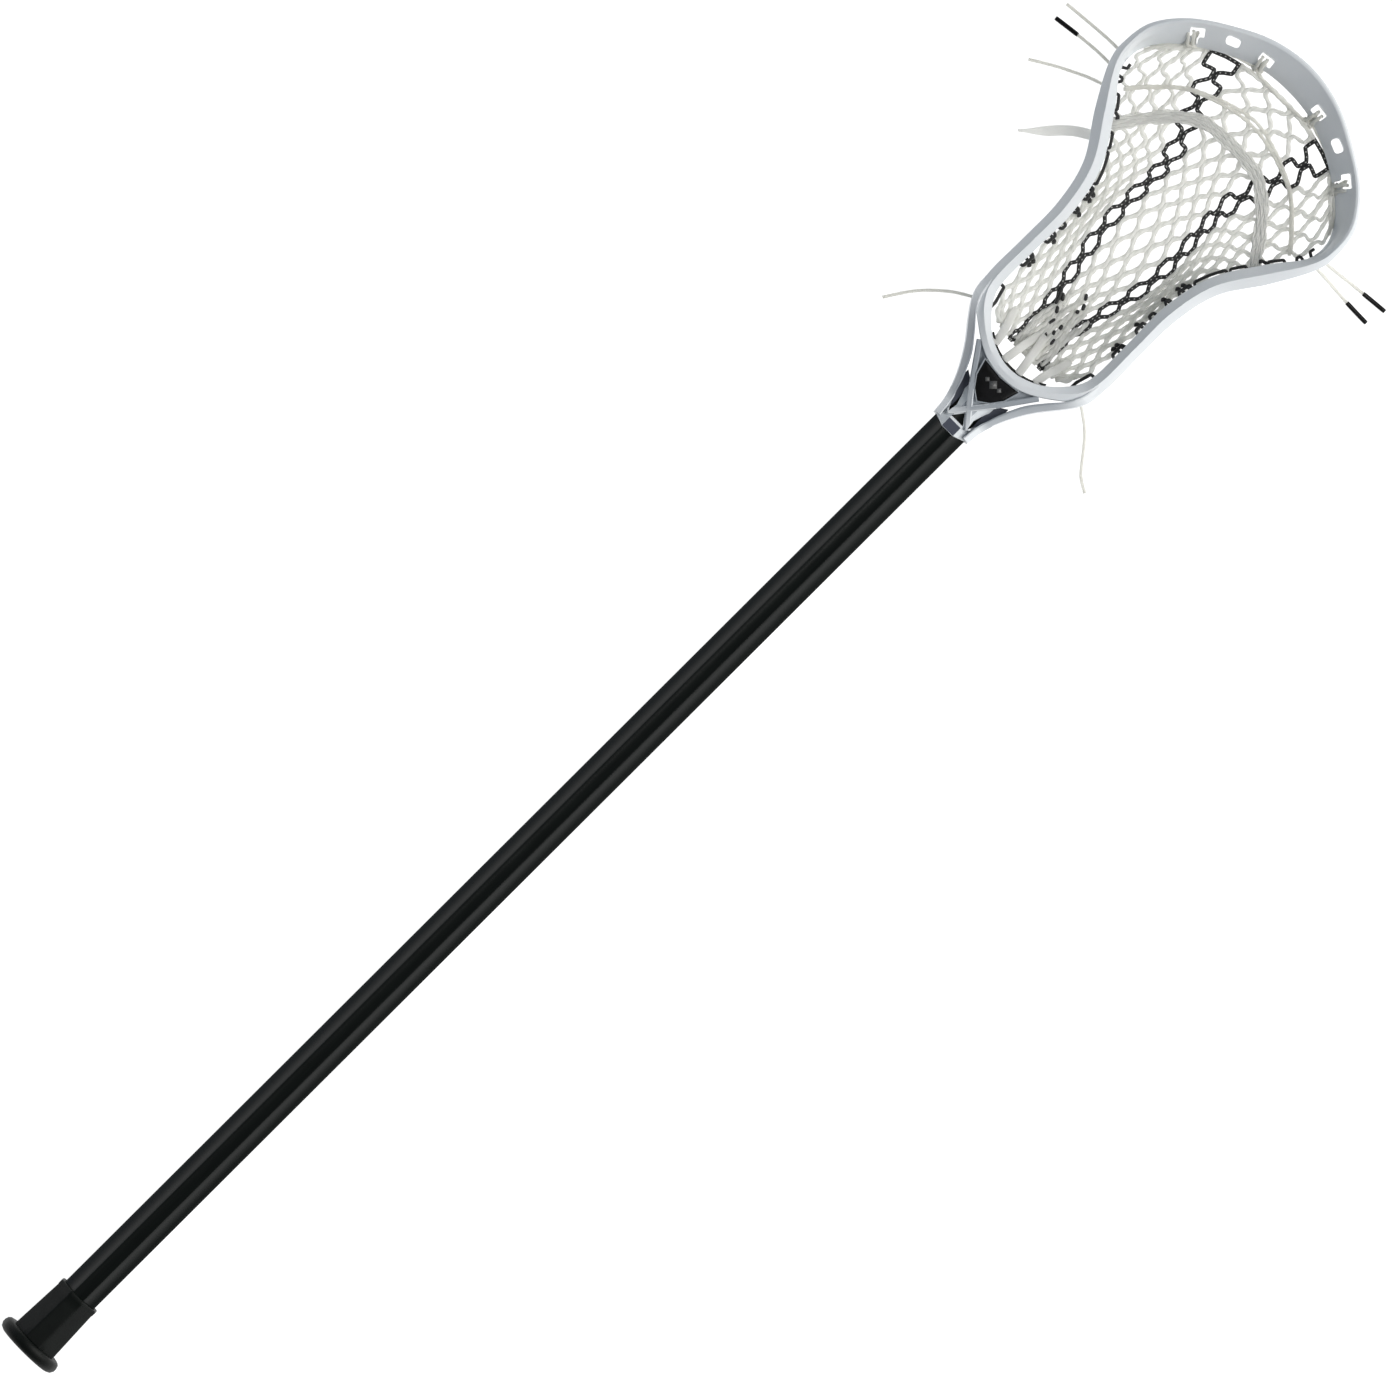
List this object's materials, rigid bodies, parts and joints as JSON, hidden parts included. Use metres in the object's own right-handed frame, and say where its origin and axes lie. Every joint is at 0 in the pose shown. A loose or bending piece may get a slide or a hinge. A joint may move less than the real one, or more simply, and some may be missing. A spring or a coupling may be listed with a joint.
{
  "type": "lacrosse stick",
  "caption": "Field lacrosse stick: octagonal metal shaft with rubber end cap, moulded head with flared sidewalls and scoop, and a strung mesh pocket with loose string ends.",
  "frame": {"origin": "centre of the end cap's flat end face, on the shaft's axis", "axes": "+Y along the shaft from the butt to the scoop, +Z out of the open face of the head, +X to the right seen from the open face"},
  "size_m": [0.2488, 1.016, 0.0493],
  "materials": {
    "shaft_metal": "satin dark anodised alloy",
    "cap_rubber": "matte moulded rubber",
    "head_plastic": "smooth injection-moulded nylon",
    "screw_steel": "zinc-plated",
    "plate_plastic": "black moulded inlay",
    "pad_foam": "closed-cell foam",
    "mesh_cord": "woven mesh with two black stripes",
    "white_string": "braided nylon string",
    "black_string": "braided nylon string",
    "white_lace": "flat woven lace",
    "tip_plastic": "shrunk plastic sleeve"
  },
  "bodies": {
    "stick": {"shaft": "shaft_metal", "head_frame": "head_plastic", "head_screw": "screw_steel", "throat_plate": "plate_plastic", "ball_stop_pad": "pad_foam", "mesh_pocket": "mesh_cord", "top_string": "white_string", "sidewall_string_left": "black_string", "sidewall_string_right": "black_string", "shooting_cord": "white_string", "shooting_lace": "white_lace", "throat_laces": "white_lace", "shooting_lace_tail": "white_lace", "top_string_tail_left": "white_string", "top_string_tail_right": "white_string", "sidewall_tail_upper_left": "white_string", "sidewall_tail_lower_left": "white_string", "sidewall_tail_right": "white_string", "bottom_string_tail_left": "white_string", "bottom_string_tail_right": "white_string", "top_string_tip_right": "tip_plastic", "sidewall_tip_upper_left": "tip_plastic", "sidewall_tip_right": "tip_plastic"},
    "cap": {"end_cap": "cap_rubber"}
  },
  "joints": [
    {"name": "cap_pull", "type": "slide", "parent": "stick", "child": "cap", "axis": [0, -1, 0], "range_m": [0, 0.045]}
  ]
}
